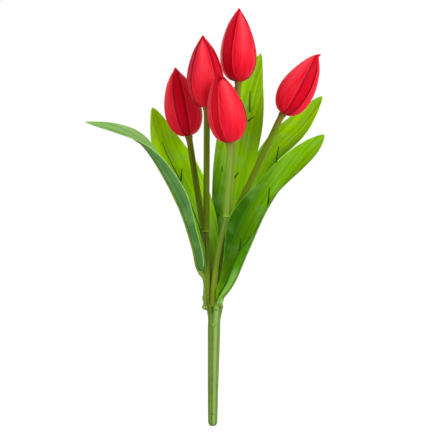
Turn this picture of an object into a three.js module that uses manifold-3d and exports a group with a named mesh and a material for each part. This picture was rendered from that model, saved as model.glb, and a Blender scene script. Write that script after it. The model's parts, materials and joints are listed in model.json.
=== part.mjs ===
// An artificial tulip bouquet: five closed buds on bendable branches and five leaves, all on one handle.
// Millimetres, +Z up. The origin is the middle of the handle's foot, and the front faces -Y.

import * as THREE from 'three';
import { LoftGeometry } from 'three/addons/geometries/LoftGeometry.js';
import { mergeVertices } from 'three/addons/utils/BufferGeometryUtils.js';
import Module from 'manifold-3d';

// Fits
const FIT_GAP = 0.3;
const LAYER_GAP = 0.7;

// Handle: a slightly bowed moulding, with a cup at its top for each branch
const HANDLE_LENGTH = 102;
const HANDLE_SHIFT = 1.2;
const FOOT_DIAMETER = 6;
const HANDLE_LOW_DIAMETER = 7.5;
const HANDLE_HIGH_DIAMETER = 10.4;
const HANDLE_FLARE = 11;
const FOOT_ROUNDING = 2.4;
const CUP_WALL = 0.4;
const CORE_WIRE_DIAMETER = 2.6;
const CORE_WIRE_FLOOR = 5;
const PIN_HOLE_DIAMETER = 1.5;
const PIN_HOLE_HEIGHT = 10.5;
const KNOT_DIAMETER = 4.2;
const KNOT_HEIGHT = 85.5;
const KNOT_RISE = 0.8;

// Branches, their wires and the flower stems that are pushed on them
const BRANCH_DIAMETER = 4.4;
const BRANCH_WIRE_DIAMETER = 1.5;
const WIRE_END = 6;
const SPIGOT_DIAMETER = 3.2;
const SPIGOT_LENGTH = 12;
const STEM_DIAMETER = 5.2;
const BRANCH_LOW_PULL = 0.6;
const BRANCH_HIGH_PULL = 0.15;
const NECK_LENGTH = 10;
const FLANGE_DIAMETER = 6.6;
const FLANGE_THICKNESS = 1.6;
const PIN_DIAMETER = 2.4;
const PIN_LENGTH = 16;

// Buds: an outer and an inner whorl of three petals round a foam core
const BUD_HEIGHT = 63;
const BUD_DIAMETER = 30;
const BELLY_LOW_POWER = 0.45;
const BELLY_HIGH_POWER = 0.87;
const PETAL_THICKNESS = 0.9;
const PETALS = 3;
const WHORL_FLOOR = 1.1;
const OUTER_PETAL_END = 0.9;
const OUTER_PETAL_ANGLE = 104;
const OUTER_PETAL_TIP_ANGLE = 16;
const INNER_PETAL_END = 0.965;
const INNER_PETAL_ANGLE = 106;
const CORE_END = 0.9;

// Leaves: a thin folded blade on a rib, whose ring sits on a peg of the handle
const PEG_DIAMETER = 2.4;
const PEG_DEPTH = 5;
const PEG_NUB = 1.4;
const RING_WALL = 1.2;
const RING_THICKNESS = 2;
const RIB_LOW_DIAMETER = 2.2;
const RIB_HIGH_DIAMETER = 1;
const RIB_SHARE = 0.8;
const BLADE_THICKNESS = 0.7;
const BARB_PITCH = 40;
const BARB_REACH = 5;
const BARB_RISE = 9;
const BARB_DIAMETER = 0.9;
const TIP_POWER = 0.7;
const TIP_WIDTH = 1;

// Resolution of the facets
const ROUND_SIDES = 8;
const BUTT_ANGLES = [80, 55, 30, 0];
const WIRE_SIDES = 6;
const WALL_STEP = 12;
const BUD_ROWS = [0.05, 0.12, 0.3, 0.55, 0.78];
const ACROSS = [-1, -0.5, 0, 0.5, 1];

// Flowers, in order round the fork. Places are x and y in bud diameters from the middle of the handle's
// top, so that larger buds stand further apart, and height in millimetres above it. A bud leans along
// its lean, is turned about it by its turn, in degrees, and is wider than the diameter by its girth.
const FORK_START = -95;
const FLOWERS = [
  {
    name: 'front', joint: [0.33, -0.67, 74], base: [0.43, -1, 135], lean: [-0.19, -0.07, 1],
    turn: 52, girth: 1.1,
  },
  {
    name: 'right', joint: [0.54, 0.03, 73], base: [1.92, -0.03, 160], lean: [0.58, -0.04, 1],
    turn: -6, girth: 1.04,
  },
  {
    name: 'back', joint: [0.39, 0.37, 70], base: [0.71, 0.63, 188], lean: [0.01, 0.03, 1],
    turn: -71, girth: 1,
  },
  {
    name: 'left', joint: [-0.31, 0.3, 64], base: [-0.72, 0.67, 142], lean: [-0.2, 0.05, 1],
    turn: -38, girth: 1.08,
  },
  {
    name: 'centre', joint: [-0.22, -0.07, 61], base: [-0.21, -0.17, 165], lean: [-0.04, 0, 1],
    turn: -96, girth: 1.04,
  },
];

// Leaves. A leaf's peg points outwards at an angle in degrees, its blade starts after a bare stalk, and its
// path holds places like those of the flowers. Three rows of values are at equal steps from the blade's lower
// end to its tip: the widths of the flattened blade, the folds, which are the rise of its halves for each
// millimetre across, and the turns, which are the degrees that its inner face looks away from the front. The
// tip is rounded from the share roundFrom on.
const LEAVES = [
  {
    name: 'arching', peg: -145, stalk: 31, widths: [4, 19, 25, 21, 13, 8], roundFrom: 0.75,
    folds: [0.8, 0.8, 0.8, 0.7, 0.45, 0.3], turns: [109, 109, 107, 93, 45, 14],
    path: [[-0.27, -0.28, 22], [-0.56, -0.36, 45], [-0.88, -0.42, 74], [-1.28, -0.47, 100],
      [-2.06, -0.6, 135], [-2.75, -0.72, 146], [-3.55, -0.83, 152]],
  },
  {
    name: 'left', peg: 157, stalk: 10, widths: [4, 22, 36, 41, 35, 28], roundFrom: 0.7,
    folds: [0.35, 0.5], turns: [40, 30],
    path: [[-0.33, 0.78, 51], [-0.86, 1.1, 96], [-1.45, 1.35, 133], [-1.78, 1.5, 167]],
  },
  {
    name: 'tall', peg: 95, stalk: 10, widths: [4, 12, 26, 37, 34, 24], roundFrom: 0.65,
    folds: [0.18, 0.18], turns: [0, 0],
    path: [[0.06, 0.65, 21], [0.28, 1.3, 67], [0.55, 1.5, 117], [0.95, 1.62, 180], [1.33, 1.7, 216]],
  },
  {
    name: 'right', peg: 50, stalk: 10, widths: [4, 18, 30, 31, 27, 20], roundFrom: 0.7,
    folds: [0.25, 0.25], turns: [-34, -34],
    path: [[0.36, 0.85, 24], [0.6, 1.45, 58], [1.06, 1.72, 96], [1.57, 1.8, 124], [2.46, 1.8, 155],
      [3.11, 1.74, 177]],
  },
  {
    name: 'low', peg: -80, stalk: 4, widths: [15, 30, 51, 41, 24, 16], roundFrom: 0.75,
    folds: [1.7, 1.7, 1.1, 1.05, 0.6, 0.25], turns: [-56, -56, -46, -46, -36, -10],
    path: [[0.5, -0.28, 16], [0.94, -0.25, 45], [1.53, -0.3, 83], [2.43, -0.4, 121], [3.06, -0.4, 142]],
  },
];

// Sizes that follow from the ones above
const BRANCH_RADIUS = BRANCH_DIAMETER / 2;
const CUP_RADIUS = BRANCH_RADIUS + FIT_GAP;
const FORK_STEP = 360 / FLOWERS.length;
const FORK_RADIUS = (2 * CUP_RADIUS + CUP_WALL) / (2 * Math.sin(THREE.MathUtils.degToRad(FORK_STEP / 2)));
const RIM_RADIUS = FORK_RADIUS + CUP_RADIUS + CUP_WALL;
const WIRE_BORE_RADIUS = BRANCH_WIRE_DIAMETER / 2 + FIT_GAP;
const RING_HOLE_RADIUS = PEG_DIAMETER / 2 + FIT_GAP;
const RING_RADIUS = RING_HOLE_RADIUS + RING_WALL;
const PEG_HEIGHT = HANDLE_LENGTH - PEG_DEPTH + RING_RADIUS;
const RING_PLACE = RIM_RADIUS + FIT_GAP + RING_THICKNESS / 2;
const LAYER_STEP = PETAL_THICKNESS + LAYER_GAP;
const BELLY_SHARE = BELLY_LOW_POWER / (BELLY_LOW_POWER + BELLY_HIGH_POWER);

const UP = new THREE.Vector3(0, 0, 1);
const FRONT = new THREE.Vector3(0, -1, 0);
const HANDLE_TOP = new THREE.Vector3(HANDLE_SHIFT, 0, HANDLE_LENGTH);

const wasm = await Module();
wasm.setup();

function solidOf(geometry) {
  const bare = new THREE.BufferGeometry();
  bare.setAttribute('position', geometry.getAttribute('position'));
  bare.setIndex(geometry.getIndex());
  const merged = mergeVertices(bare);
  return new wasm.Manifold(new wasm.Mesh({
    numProp: 3,
    vertProperties: merged.getAttribute('position').array,
    triVerts: Uint32Array.from(merged.getIndex().array),
  }));
}

function geometryOf(solid) {
  const mesh = solid.getMesh();
  const geometry = new THREE.BufferGeometry();
  geometry.setAttribute('position', new THREE.BufferAttribute(mesh.vertProperties, 3));
  geometry.setIndex(new THREE.BufferAttribute(mesh.triVerts, 1));
  return geometry;
}

function join(geometries) {
  return geometries.map(solidOf).reduce((whole, next) => whole.add(next));
}

function direction(degrees) {
  const angle = THREE.MathUtils.degToRad(degrees);
  return new THREE.Vector3(Math.cos(angle), Math.sin(angle), 0);
}

function place([x, y, z]) {
  return HANDLE_TOP.clone().add(new THREE.Vector3(x * BUD_DIAMETER, y * BUD_DIAMETER, z));
}

// The point, the direction and the two cross directions of a curve at a distance along it. Past its ends
// the curve goes on straight.
function frameAt(curve, distance) {
  const length = curve.getLength();
  const share = THREE.MathUtils.clamp(distance / length, 0, 1);
  const along = curve.getTangentAt(share);
  const point = curve.getPointAt(share).addScaledVector(along, distance - share * length);
  const side = FRONT.clone().addScaledVector(along, -along.dot(FRONT)).normalize();
  return { point, along, side, across: new THREE.Vector3().crossVectors(along, side) };
}

// The multiples of the wall step strictly between two distances, in walking order.
function cutsBetween(from, to) {
  const first = WALL_STEP * (Math.floor(Math.min(from, to) / WALL_STEP) + 1);
  const cuts = [];
  for (let cut = first; cut < Math.max(from, to); cut += WALL_STEP) {
    cuts.push(cut);
  }
  return from < to ? cuts : cuts.reverse();
}

// A turned piece whose axis follows a curve. The outline holds [radius, distance along the curve] pairs,
// and its long straight walls are cut into steps so that they can bend.
function turned(outline, curve, sides = ROUND_SIDES) {
  const points = [new THREE.Vector2(...outline[0])];
  for (const pair of outline.slice(1)) {
    const from = points.at(-1);
    const to = new THREE.Vector2(...pair);
    for (const cut of cutsBetween(from.y, to.y)) {
      points.push(from.clone().lerp(to, (cut - from.y) / (to.y - from.y)));
    }
    points.push(to);
  }
  const geometry = new THREE.LatheGeometry(points, sides);
  const position = geometry.getAttribute('position');
  for (let index = 0; index < position.count; index += 1) {
    const { point, side, across } = frameAt(curve, position.getY(index));
    point.addScaledVector(across, position.getX(index)).addScaledVector(side, position.getZ(index));
    position.setXYZ(index, point.x, point.y, point.z);
  }
  return geometry;
}

function rod(from, to, diameter, sides = ROUND_SIDES) {
  const length = from.distanceTo(to);
  const geometry = new THREE.CylinderGeometry(diameter / 2, diameter / 2, length, sides);
  geometry.rotateX(Math.PI / 2).translate(0, 0, length / 2);
  const turn = new THREE.Quaternion().setFromUnitVectors(UP, to.clone().sub(from).normalize());
  return geometry.applyQuaternion(turn).translate(from.x, from.y, from.z);
}

function material(color, roughness, metalness = 0) {
  return new THREE.MeshStandardMaterial({ color, roughness, metalness });
}

function named(name, geometry, look) {
  const mesh = new THREE.Mesh(geometry, look);
  mesh.name = name;
  return mesh;
}

// Handle

const handleCurve = new THREE.CubicBezierCurve3(
  new THREE.Vector3(),
  new THREE.Vector3(0, 0, HANDLE_LENGTH / 3),
  new THREE.Vector3(HANDLE_SHIFT, 0, HANDLE_LENGTH * 2 / 3),
  HANDLE_TOP,
);

function forkPoint(index) {
  return direction(FORK_START + index * FORK_STEP).multiplyScalar(FORK_RADIUS).add(HANDLE_TOP);
}

function pegCentre(leaf) {
  return direction(leaf.peg).multiplyScalar(RING_PLACE).add(HANDLE_TOP).setZ(PEG_HEIGHT);
}

function handleGeometry() {
  const length = handleCurve.getLength();
  const column = turned([
    [0, 0],
    [FOOT_DIAMETER / 2, 0],
    [HANDLE_LOW_DIAMETER / 2, FOOT_ROUNDING],
    [HANDLE_HIGH_DIAMETER / 2, length - HANDLE_FLARE],
    [RIM_RADIUS, length - FIT_GAP],
    [RIM_RADIUS - FIT_GAP, length],
    [0, length],
  ], handleCurve, 2 * ROUND_SIDES);
  const knotMiddle = frameAt(handleCurve, KNOT_HEIGHT).point;
  const knotEnd = knotMiddle.clone().addScaledVector(FRONT, HANDLE_HIGH_DIAMETER / 2 + KNOT_RISE);
  const knot = rod(knotMiddle, knotEnd, KNOT_DIAMETER);
  const pegs = LEAVES.map((leaf) => {
    const ring = pegCentre(leaf);
    const outwards = direction(leaf.peg);
    const root = ring.clone().addScaledVector(outwards, -RING_PLACE / 2);
    const end = ring.clone().addScaledVector(outwards, RING_THICKNESS / 2 + PEG_NUB);
    return rod(root, end, PEG_DIAMETER);
  });
  const bore = turned([
    [0, CORE_WIRE_FLOOR],
    [CORE_WIRE_DIAMETER / 2 + FIT_GAP, CORE_WIRE_FLOOR],
    [CORE_WIRE_DIAMETER / 2 + FIT_GAP, length + FIT_GAP],
    [0, length + FIT_GAP],
  ], handleCurve);
  const pinHole = rod(
    new THREE.Vector3(0, 0, PIN_HOLE_HEIGHT),
    new THREE.Vector3(0, -HANDLE_LOW_DIAMETER, PIN_HOLE_HEIGHT),
    PIN_HOLE_DIAMETER,
  );
  const cups = FLOWERS.map((flower, index) => {
    const { x, y, z } = forkPoint(index);
    return new THREE.SphereGeometry(CUP_RADIUS, 2 * ROUND_SIDES, ROUND_SIDES).translate(x, y, z);
  });
  return geometryOf(join([column, knot, ...pegs]).subtract(join([bore, pinHole, ...cups])));
}

function coreWireGeometry() {
  const radius = CORE_WIRE_DIAMETER / 2;
  const low = CORE_WIRE_FLOOR + FIT_GAP;
  const high = handleCurve.getLength() - FIT_GAP;
  return turned([[0, low], [radius, low], [radius, high], [0, high]], handleCurve, WIRE_SIDES);
}

// Flowers: a branch with its wire, and a stem that carries a bud

function flowerCurves(flower, index) {
  const fork = forkPoint(index);
  const joint = place(flower.joint);
  const base = place(flower.base);
  const lean = new THREE.Vector3(...flower.lean).normalize();
  const bend = base.clone().addScaledVector(lean, -NECK_LENGTH / 2);
  const rise = bend.clone().sub(joint).normalize();
  const reach = fork.distanceTo(joint);
  const neck = bend.clone().addScaledVector(rise, -NECK_LENGTH / 2);

  const branch = new THREE.CubicBezierCurve3(
    fork,
    fork.clone().addScaledVector(UP, reach * BRANCH_LOW_PULL),
    joint.clone().addScaledVector(rise, -reach * BRANCH_HIGH_PULL),
    joint,
  );
  const stem = new THREE.CurvePath();
  stem.add(new THREE.LineCurve3(joint, neck));
  stem.add(new THREE.QuadraticBezierCurve3(neck, bend, base));
  return { branch, stem, base, lean };
}

function branchGeometry(curve) {
  const length = curve.getLength();
  const spigotEnd = length + SPIGOT_LENGTH;
  const butt = BUTT_ANGLES.map((degrees) => {
    const angle = THREE.MathUtils.degToRad(degrees);
    return [BRANCH_RADIUS * Math.cos(angle), -BRANCH_RADIUS * Math.sin(angle)];
  });
  return turned([
    [0, -BRANCH_RADIUS],
    ...butt,
    [BRANCH_RADIUS, length - FIT_GAP],
    [SPIGOT_DIAMETER / 2, length - FIT_GAP],
    [SPIGOT_DIAMETER / 2, spigotEnd],
    [WIRE_BORE_RADIUS, spigotEnd],
    [WIRE_BORE_RADIUS, BRANCH_RADIUS],
    [0, BRANCH_RADIUS],
  ], curve);
}

function wireGeometry(curve) {
  const radius = BRANCH_WIRE_DIAMETER / 2;
  const low = BRANCH_RADIUS + FIT_GAP;
  const high = curve.getLength() + SPIGOT_LENGTH + WIRE_END;
  return turned([[0, low], [radius, low], [radius, high], [0, high]], curve, WIRE_SIDES);
}

function stemGeometry(curve) {
  const length = curve.getLength();
  const socketRadius = SPIGOT_DIAMETER / 2 + FIT_GAP;
  const socketEnd = SPIGOT_LENGTH + FIT_GAP;
  const boreEnd = socketEnd + WIRE_END + FIT_GAP;
  return turned([
    [0, boreEnd],
    [WIRE_BORE_RADIUS, boreEnd],
    [WIRE_BORE_RADIUS, socketEnd],
    [socketRadius, socketEnd],
    [socketRadius, 0],
    [STEM_DIAMETER / 2, 0],
    [STEM_DIAMETER / 2, length - FLANGE_THICKNESS],
    [FLANGE_DIAMETER / 2, length - FLANGE_THICKNESS / 2],
    [FLANGE_DIAMETER / 2, length],
    [PIN_DIAMETER / 2, length],
    [PIN_DIAMETER / 2, length + PIN_LENGTH],
    [0, length + PIN_LENGTH],
  ], curve);
}

// Buds, on the Z axis from their base up

// The bud's radius at a share of its height: widest a third of the way up, and pointed at the tip.
function budRadius(share, inset) {
  const low = (share / BELLY_SHARE) ** BELLY_LOW_POWER;
  const high = ((1 - share) / (1 - BELLY_SHARE)) ** BELLY_HIGH_POWER;
  return BUD_DIAMETER / 2 * low * high - inset;
}

// Shares of the height from one end to another. The rows between are the same for every layer, so that
// the layers' facets run parallel.
function budRows(from, to) {
  return [from, ...BUD_ROWS.filter((share) => share > from && share < to), to];
}

// One petal, as a loft of rows. Each row runs along its outer face and back along its inner face.
function petalGeometry(middle, inset, lowShare, highShare, halfAngle) {
  const rows = budRows(lowShare, highShare).map((share) => {
    const half = halfAngle(share);
    const outer = budRadius(share, inset);
    const inner = Math.max(outer - PETAL_THICKNESS, FIT_GAP / 2);
    const arc = (radius) => ACROSS.map((across) => {
      return direction(middle + across * half).multiplyScalar(radius).setZ(share * BUD_HEIGHT);
    });
    return [...arc(outer), ...arc(inner).reverse()];
  });
  return new LoftGeometry(rows, { capStart: true, capEnd: true });
}

// A whorl: petals on a common floor, which is threaded on the stem's pin.
function whorlGeometry(start, inset, floorHeight, highShare, halfAngle) {
  const floorTop = floorHeight + WHORL_FLOOR;
  const lowShare = (floorHeight + WHORL_FLOOR / 2) / BUD_HEIGHT;
  const hole = PIN_DIAMETER / 2 + FIT_GAP;
  const rim = (height) => budRadius(height / BUD_HEIGHT, inset + FIT_GAP);
  const floor = new THREE.LatheGeometry([
    new THREE.Vector2(hole, floorHeight),
    new THREE.Vector2(rim(floorHeight), floorHeight),
    new THREE.Vector2(rim(floorTop), floorTop),
    new THREE.Vector2(hole, floorTop),
    new THREE.Vector2(hole, floorHeight),
  ], ROUND_SIDES).rotateX(Math.PI / 2);
  const petals = Array.from({ length: PETALS }, (_, index) => {
    const middle = start + index * 360 / PETALS;
    return petalGeometry(middle, inset, lowShare, highShare, halfAngle);
  });
  return geometryOf(join([floor, ...petals]));
}

function outerHalfAngle(share) {
  const taper = Math.sqrt(Math.max(OUTER_PETAL_END - share, 0) / (OUTER_PETAL_END - BELLY_SHARE));
  return THREE.MathUtils.lerp(OUTER_PETAL_TIP_ANGLE, OUTER_PETAL_ANGLE, Math.min(taper, 1)) / 2;
}

function innerHalfAngle() {
  return INNER_PETAL_ANGLE / 2;
}

const outerFloor = FIT_GAP;
const innerFloor = outerFloor + WHORL_FLOOR + FIT_GAP;
const coreFloor = innerFloor + WHORL_FLOOR + FIT_GAP;

function budCoreGeometry() {
  const hole = PIN_DIAMETER / 2 + FIT_GAP;
  const holeEnd = PIN_LENGTH + FIT_GAP;
  const skin = budRows(coreFloor / BUD_HEIGHT, CORE_END).map((share) => {
    return new THREE.Vector2(budRadius(share, 2 * LAYER_STEP), share * BUD_HEIGHT);
  });
  return new THREE.LatheGeometry([
    new THREE.Vector2(0, holeEnd),
    new THREE.Vector2(hole, holeEnd),
    new THREE.Vector2(hole, coreFloor),
    ...skin,
    new THREE.Vector2(0, CORE_END * BUD_HEIGHT),
  ], ROUND_SIDES).rotateX(Math.PI / 2);
}

function makeBud(flower, base, lean) {
  const bud = new THREE.Group();
  const outer = whorlGeometry(0, 0, outerFloor, OUTER_PETAL_END, outerHalfAngle);
  const inner = whorlGeometry(180 / PETALS, LAYER_STEP, innerFloor, INNER_PETAL_END, innerHalfAngle);
  bud.add(named(`${flower.name}_outer_petals`, outer, material(0xe6142d, 0.6)));
  bud.add(named(`${flower.name}_inner_petals`, inner, material(0xb4061c, 0.65)));
  bud.add(named(`${flower.name}_bud_core`, budCoreGeometry(), material(0xe8e4d8, 0.9)));
  bud.position.copy(base);
  bud.scale.set(flower.girth, flower.girth, 1);
  bud.quaternion.setFromUnitVectors(UP, lean);
  bud.rotateZ(THREE.MathUtils.degToRad(flower.turn));
  return bud;
}

function makeFlower(flower, index) {
  const { branch, stem, base, lean } = flowerCurves(flower, index);
  const group = new THREE.Group();
  group.add(named(`${flower.name}_branch`, branchGeometry(branch), material(0x6f8228, 0.45)));
  group.add(named(`${flower.name}_wire`, wireGeometry(branch), material(0x9a9a98, 0.35, 1)));
  group.add(named(`${flower.name}_stem`, stemGeometry(stem), material(0x788c34, 0.45)));
  group.add(makeBud(flower, base, lean));
  return group;
}

// Leaves

function leafCurve(leaf) {
  const start = pegCentre(leaf).addScaledVector(UP, RING_HOLE_RADIUS + RING_WALL / 2);
  return new THREE.CatmullRomCurve3([start, ...leaf.path.map(place)], false, 'centripetal');
}

// A value at a share of the way along a row of values, on a smooth line through them.
function valueAt(values, share) {
  const line = new THREE.SplineCurve(values.map((value, step) => new THREE.Vector2(step, value)));
  return line.getPoint(share).y;
}

// The leaf at a distance along its rib: the direction that its inner face looks, the one across it, its fold
// and the width of the flattened blade.
function leafFrame(leaf, curve, distance) {
  const { point, along, side } = frameAt(curve, distance);
  const share = THREE.MathUtils.clamp((distance - leaf.stalk) / (curve.getLength() - leaf.stalk), 0, 1);
  const face = side.applyAxisAngle(along, THREE.MathUtils.degToRad(valueAt(leaf.turns, share)));
  const taper = Math.max((share - leaf.roundFrom) / (1 - leaf.roundFrom), 0);
  const width = Math.max(valueAt(leaf.widths, share) * (1 - taper ** 2) ** TIP_POWER, TIP_WIDTH);
  return { point, face, across: along.cross(face), fold: valueAt(leaf.folds, share), width };
}

function ribRadius(share) {
  return THREE.MathUtils.lerp(RIB_LOW_DIAMETER, RIB_HIGH_DIAMETER, Math.min(share / RIB_SHARE, 1)) / 2;
}

// The blade, as a loft of rows at the rib's own steps. Each row runs along its inner face and back along its
// outer face, which lies on the rib.
function bladeGeometry(leaf, curve) {
  const length = curve.getLength();
  const rows = [leaf.stalk, ...cutsBetween(leaf.stalk, length), length].map((distance) => {
    const { point, face, across, fold, width } = leafFrame(leaf, curve, distance);
    const half = width / 2 / Math.hypot(1, fold);
    const lift = ribRadius(distance / length) + FIT_GAP;
    const edge = (layer) => ACROSS.map((step) => {
      const rise = lift + layer + fold * half * Math.abs(step);
      return point.clone().addScaledVector(across, step * half).addScaledVector(face, rise);
    });
    return [...edge(BLADE_THICKNESS), ...edge(0).reverse()];
  });
  return new LoftGeometry(rows, { capStart: true, capEnd: true });
}

function ringGeometry(leaf) {
  const outline = new THREE.Shape().absarc(0, 0, RING_RADIUS, 0, 2 * Math.PI);
  outline.holes.push(new THREE.Path().absarc(0, 0, RING_HOLE_RADIUS, 0, 2 * Math.PI));
  const ring = new THREE.ExtrudeGeometry(outline, {
    depth: RING_THICKNESS, bevelEnabled: false, curveSegments: ROUND_SIDES / 2,
  });
  const centre = pegCentre(leaf);
  const turn = new THREE.Quaternion().setFromUnitVectors(UP, direction(leaf.peg));
  ring.translate(0, 0, -RING_THICKNESS / 2).applyQuaternion(turn);
  return ring.translate(centre.x, centre.y, centre.z);
}

function ribGeometry(leaf, curve) {
  const length = curve.getLength();
  const end = length * RIB_SHARE;
  const spine = turned([
    [0, 0],
    [ribRadius(0), 0],
    [ribRadius(RIB_SHARE), end],
    [0, end],
  ], curve, WIRE_SIDES);
  const barbs = [];
  for (let distance = leaf.stalk + BARB_PITCH; distance < end - BARB_RISE; distance += BARB_PITCH) {
    const side = barbs.length % 2 ? 1 : -1;
    const low = leafFrame(leaf, curve, distance).point;
    const { point, across, face, fold } = leafFrame(leaf, curve, distance + BARB_RISE);
    const tip = point.addScaledVector(across, side * BARB_REACH).addScaledVector(face, fold * BARB_REACH);
    barbs.push(rod(low, tip, BARB_DIAMETER, WIRE_SIDES));
  }
  return geometryOf(join([ringGeometry(leaf), spine, ...barbs]));
}

function makeLeaf(leaf) {
  const curve = leafCurve(leaf);
  const group = new THREE.Group();
  group.add(named(`${leaf.name}_leaf_rib`, ribGeometry(leaf, curve), material(0x5c7a1e, 0.5)));
  group.add(named(`${leaf.name}_leaf_blade`, bladeGeometry(leaf, curve), material(0x6fa01a, 0.45)));
  return group;
}

// The whole bouquet

const bouquet = new THREE.Group();
bouquet.add(named('handle', handleGeometry(), material(0x76942f, 0.4)));
bouquet.add(named('handle_core_wire', coreWireGeometry(), material(0x9a9a98, 0.35, 1)));
bouquet.add(...FLOWERS.map(makeFlower));
bouquet.add(...LEAVES.map(makeLeaf));

export default bouquet;
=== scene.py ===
# An artificial tulip bouquet: five closed red buds on bendable stems and five folded leaves, on one handle.
# Metres, +Z up. The origin is the middle of the handle's foot, and the front faces -Y.

import bisect
import json
import math
import random

import bpy
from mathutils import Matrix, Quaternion, Vector


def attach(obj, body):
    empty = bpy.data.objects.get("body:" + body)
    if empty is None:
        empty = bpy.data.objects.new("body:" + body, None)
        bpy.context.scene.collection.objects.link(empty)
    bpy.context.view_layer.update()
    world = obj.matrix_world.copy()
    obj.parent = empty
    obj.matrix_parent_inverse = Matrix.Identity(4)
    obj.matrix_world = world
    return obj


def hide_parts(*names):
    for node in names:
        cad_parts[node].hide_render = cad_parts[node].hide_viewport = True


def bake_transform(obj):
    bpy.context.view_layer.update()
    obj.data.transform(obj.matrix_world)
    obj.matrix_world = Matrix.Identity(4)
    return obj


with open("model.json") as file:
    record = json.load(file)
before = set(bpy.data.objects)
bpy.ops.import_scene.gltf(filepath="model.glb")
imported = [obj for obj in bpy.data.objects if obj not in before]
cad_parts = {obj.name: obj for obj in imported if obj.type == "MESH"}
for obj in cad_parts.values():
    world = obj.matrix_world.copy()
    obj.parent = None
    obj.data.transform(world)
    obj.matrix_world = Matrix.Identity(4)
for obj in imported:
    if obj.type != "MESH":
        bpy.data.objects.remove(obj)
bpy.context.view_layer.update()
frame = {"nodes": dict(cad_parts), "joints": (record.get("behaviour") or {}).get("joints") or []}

MM = 0.001
UP = Vector((0, 0, 1))
FRONT = Vector((0, -1, 0))

# Angles among the named values are in degrees, and shares go from 0 to 1.
BEVEL = 0.3 * MM
SHARP_ANGLE = 50

# Handle
HANDLE_LENGTH = 102 * MM
HANDLE_SHIFT = 1.2 * MM
FOOT_RADIUS = 1 * MM
FOOT_ROUNDING = 3.8 * MM
HANDLE_LOW_RADIUS = 4 * MM
HANDLE_HIGH_RADIUS = 5.4 * MM
HANDLE_RIM_RADIUS = 7.5 * MM
HANDLE_FLARE = 15 * MM
FLARE_STEPS = 8
LOBE_DEPTH = 3.2 * MM
LOBE_START = 84 * MM
FLUTES = 11
FLUTE_DEPTH = 0.06 * MM
FLUTE_FADE = 10 * MM
# Painted highlight on the handle: paler bands along it, at a fixed place around it.
HIGHLIGHT_BANDS = 3
HIGHLIGHT_PLACE = 0.21
HIGHLIGHT_STRENGTH = 0.75
HIGHLIGHT_GREEN = (150, 180, 112)
KNOT_HEIGHT = 85.5 * MM
KNOT_RADIUS = 2.1 * MM
KNOT_RISE = 1 * MM
PIN_HEIGHT = 10.5 * MM
PIN_RADIUS = 0.7 * MM
PEG_RADIUS = 1.2 * MM
PEG_REACH = 2.4 * MM
PEG_ROOT = 5 * MM

# Branches and flower stems
FORK_START = -95
BRANCH_RADIUS = 2.2 * MM
ROOT_RADIUS = 2.8 * MM
ROOT_LENGTH = 36 * MM
BRANCH_ROOT = 1.6 * MM
BRANCH_LOW_PULL = 0.6
BRANCH_HIGH_PULL = 0.15
SPIGOT_RADIUS = 1.6 * MM
SPIGOT_LENGTH = 10 * MM
SOCKET_RADIUS = 1.9 * MM
SOCKET_DEPTH = 10.6 * MM
STEM_RADIUS = 2.6 * MM
LIP_RADIUS = 2.85 * MM
LIP_LENGTH = 0.9 * MM
LIP_SLOPE = 0.5 * MM
LIP_GAP = 0.2 * MM
NECK_LENGTH = 10 * MM
STEM_FLARE_RADIUS = 3.4 * MM
STEM_FLARE = 6 * MM

# Buds
BUD_HEIGHT = 63 * MM
BUD_RADIUS = 15 * MM
BELLY_LOW_POWER = 0.45
BELLY_HIGH_POWER = 0.87
BELLY_SHARE = BELLY_LOW_POWER / (BELLY_LOW_POWER + BELLY_HIGH_POWER)
PETALS = 3
PETAL_ROWS = 40
PETAL_COLUMNS = 35
PETAL_EDGE = 0.35
WALL_LIMIT = 0.6
BUD_START = 0.004
FOOT_SHARE = 0.1
PINCH = 1 * MM
PINCH_START = 0.75
PINCH_END = 0.93
OUTER_REDS = ((206, 0, 28), (232, 2, 42), (255, 84, 94), (232, 58, 72))
# The outer petals' fourth red is a painted highlight along their rims, from these shares of the width from
# the middle on.
OUTER_RIM_HIGHLIGHT = (0.43, 0.5)
# Painted highlight: how strongly the lightest red is painted along the middle of each outer petal.
OUTER_CREST_HIGHLIGHT = 0.7
OUTER_NOTCH = 0.3
OUTER_ROUNDING = 0.075
OUTER_TIP_ANGLE = 3
OUTER_THICKNESS = 0.6 * MM
OUTER_CREASE = 0.4
OUTER_CREST = -0.25
OUTER_TUCK = 0.8 * MM
OUTER_WOBBLE = 0.2 * MM
WOBBLE_RATE = 7
# The inner reds are darker than the outer ones: painted shade in the valleys between the outer petals.
INNER_REDS = ((190, 2, 26), (216, 5, 36), (232, 18, 48), (120, 0, 12))
# The inner petals' fourth red, near black, is painted shade where they lie under the outer petals, from
# these shares of the width from the middle on.
INNER_UNDERLAP_SHADE = (0.05, 0.16)
INNER_CREST_HIGHLIGHT = 0
INNER_END = 0.972
INNER_HALF_ANGLE = 64
INNER_INSET = 1.3 * MM
INNER_TOP_INSET = 0.45 * MM
INSET_START = 0.7
INNER_THICKNESS = 0.5 * MM
INNER_SPIRAL = 0.25 * MM
SPIRAL_FADE = 0.3
GROOVE_DEPTH = 0.5 * MM
GROOVE_ANGLE = 4
GROOVE_FADE = 0.2
TIP_START = 0.945
TIP_RADIUS = 1.25 * MM
TIP_LEAST_RADIUS = 0.3 * MM
CORE_RINGS = 16
CORE_START = 0.1
CORE_END = 0.86
CORE_INSET = 2.6 * MM
HOOK_START = 0.9
HOOK_WAY = Vector((1, 0, -0.35))

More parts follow.
